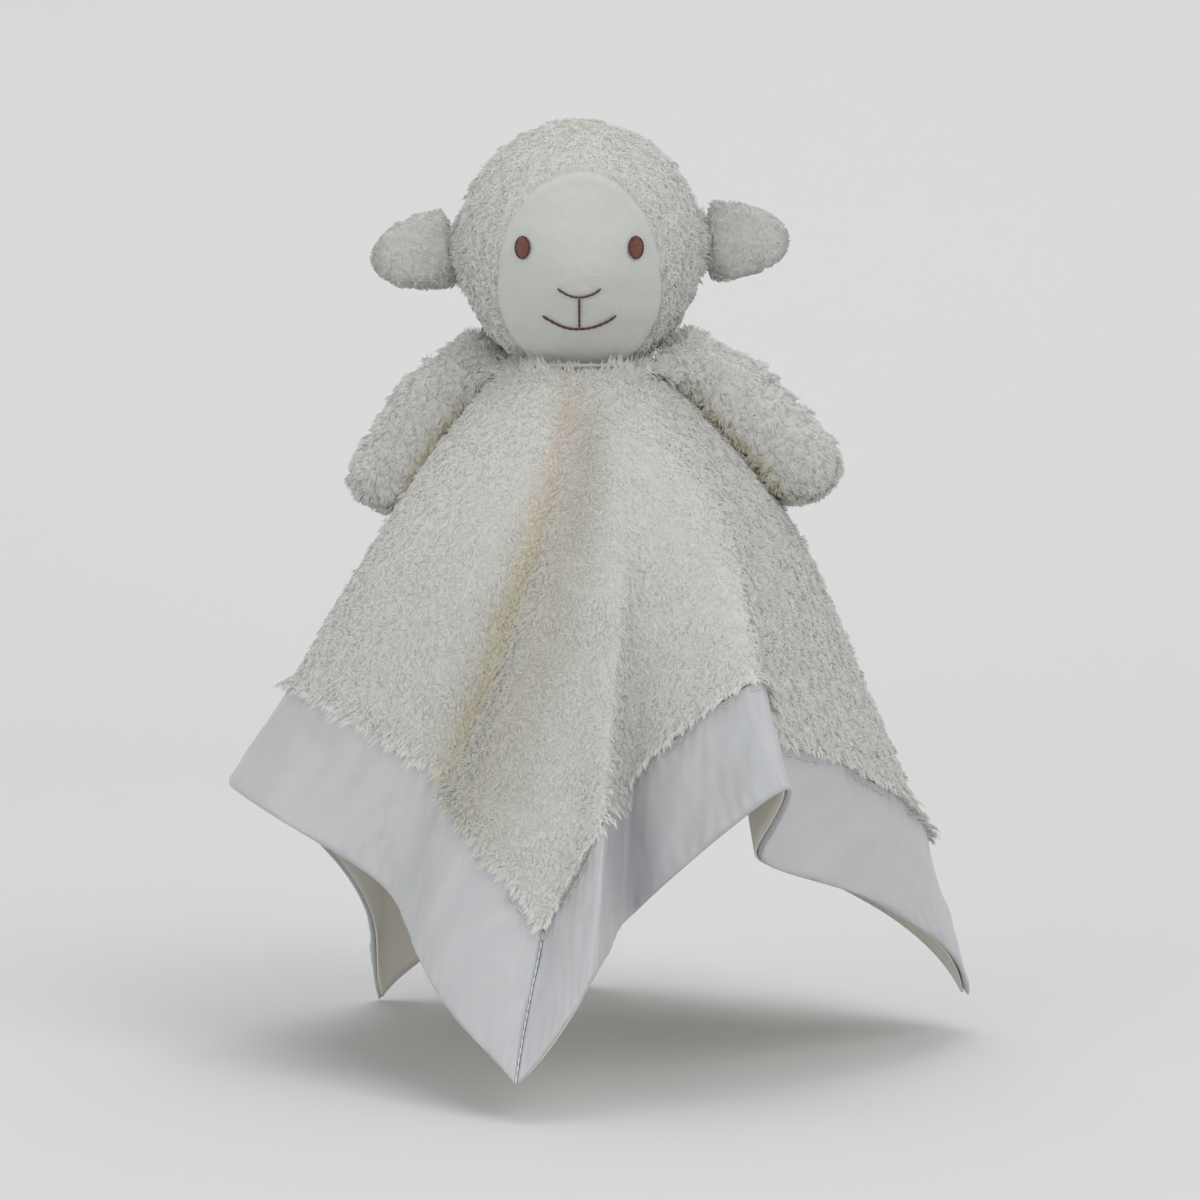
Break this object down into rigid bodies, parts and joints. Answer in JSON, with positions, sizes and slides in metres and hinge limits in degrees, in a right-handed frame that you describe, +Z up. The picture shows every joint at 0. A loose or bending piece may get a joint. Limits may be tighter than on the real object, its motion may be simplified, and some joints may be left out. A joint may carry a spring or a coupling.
{
  "type": "comfort blanket lovey",
  "caption": "Lamb comfort blanket: a plush lamb's head with floppy ears and stuffed arms, sewn to the middle of a square plush blanket that hangs in folds, with a wide satin hem.",
  "frame": {"origin": "the middle of the round neck seam, where the blanket's middle is sewn to the head", "axes": "+Z up, the way the toy is held by its neck; the face looks towards -Y; +X is the lamb's own left"},
  "size_m": [0.2391, 0.2343, 0.2958],
  "materials": {
    "plush": "off-white plush pile",
    "velour": "smooth short pile",
    "satin": "soft satin sheen",
    "lining": "smooth woven lining",
    "seam_thread": "sewing thread",
    "brown_thread": "embroidery thread",
    "stuffing": "loose polyester filling"
  },
  "bodies": {
    "blanket": {"blanket_plush": "plush", "blanket_lining": "lining", "hem_front_left": "satin", "hem_front_right": "satin", "hem_back_left": "satin", "hem_back_right": "satin", "neck_thread": "seam_thread"},
    "head": {"head_cover": "plush", "face_panel": "velour", "head_stuffing": "stuffing", "eye_left": "brown_thread", "eye_right": "brown_thread", "nose_stitch": "brown_thread", "lip_stitch": "brown_thread", "mouth_stitch": "brown_thread"},
    "ear_left": {"ear_left_front": "velour", "ear_left_back": "plush"},
    "ear_right": {"ear_right_front": "velour", "ear_right_back": "plush"},
    "arm_left": {"arm_left_cover": "plush", "arm_left_stuffing": "stuffing"},
    "arm_right": {"arm_right_cover": "plush", "arm_right_stuffing": "stuffing"}
  },
  "joints": [
    {"name": "head_turn", "type": "hinge", "parent": "blanket", "child": "head", "pos_m": [0, 0, 0], "axis": [0, 0, 1], "range_deg": [-35, 35], "stiffness_Nm_per_rad": 0.05},
    {"name": "ear_left_flap", "type": "hinge", "parent": "head", "child": "ear_left", "pos_m": [0.0425, 0, 0.041], "axis": [0, 0, 1], "range_deg": [-50, 50], "stiffness_Nm_per_rad": 0.01},
    {"name": "ear_right_flap", "type": "hinge", "parent": "head", "child": "ear_right", "pos_m": [-0.0425, 0, 0.0385], "axis": [-0.1736, 0, 0.9848], "range_deg": [-50, 50], "stiffness_Nm_per_rad": 0.01},
    {"name": "arm_left_lift", "type": "hinge", "parent": "blanket", "child": "arm_left", "pos_m": [0.027, 0.0005, 0.0009], "axis": [0.0174, -0.9998, 0], "range_deg": [0, 35], "stiffness_Nm_per_rad": 0.05},
    {"name": "arm_right_lift", "type": "hinge", "parent": "blanket", "child": "arm_right", "pos_m": [-0.0254, 0.0092, 0.0017], "axis": [0.342, 0.9397, 0], "range_deg": [0, 35], "stiffness_Nm_per_rad": 0.05}
  ]
}
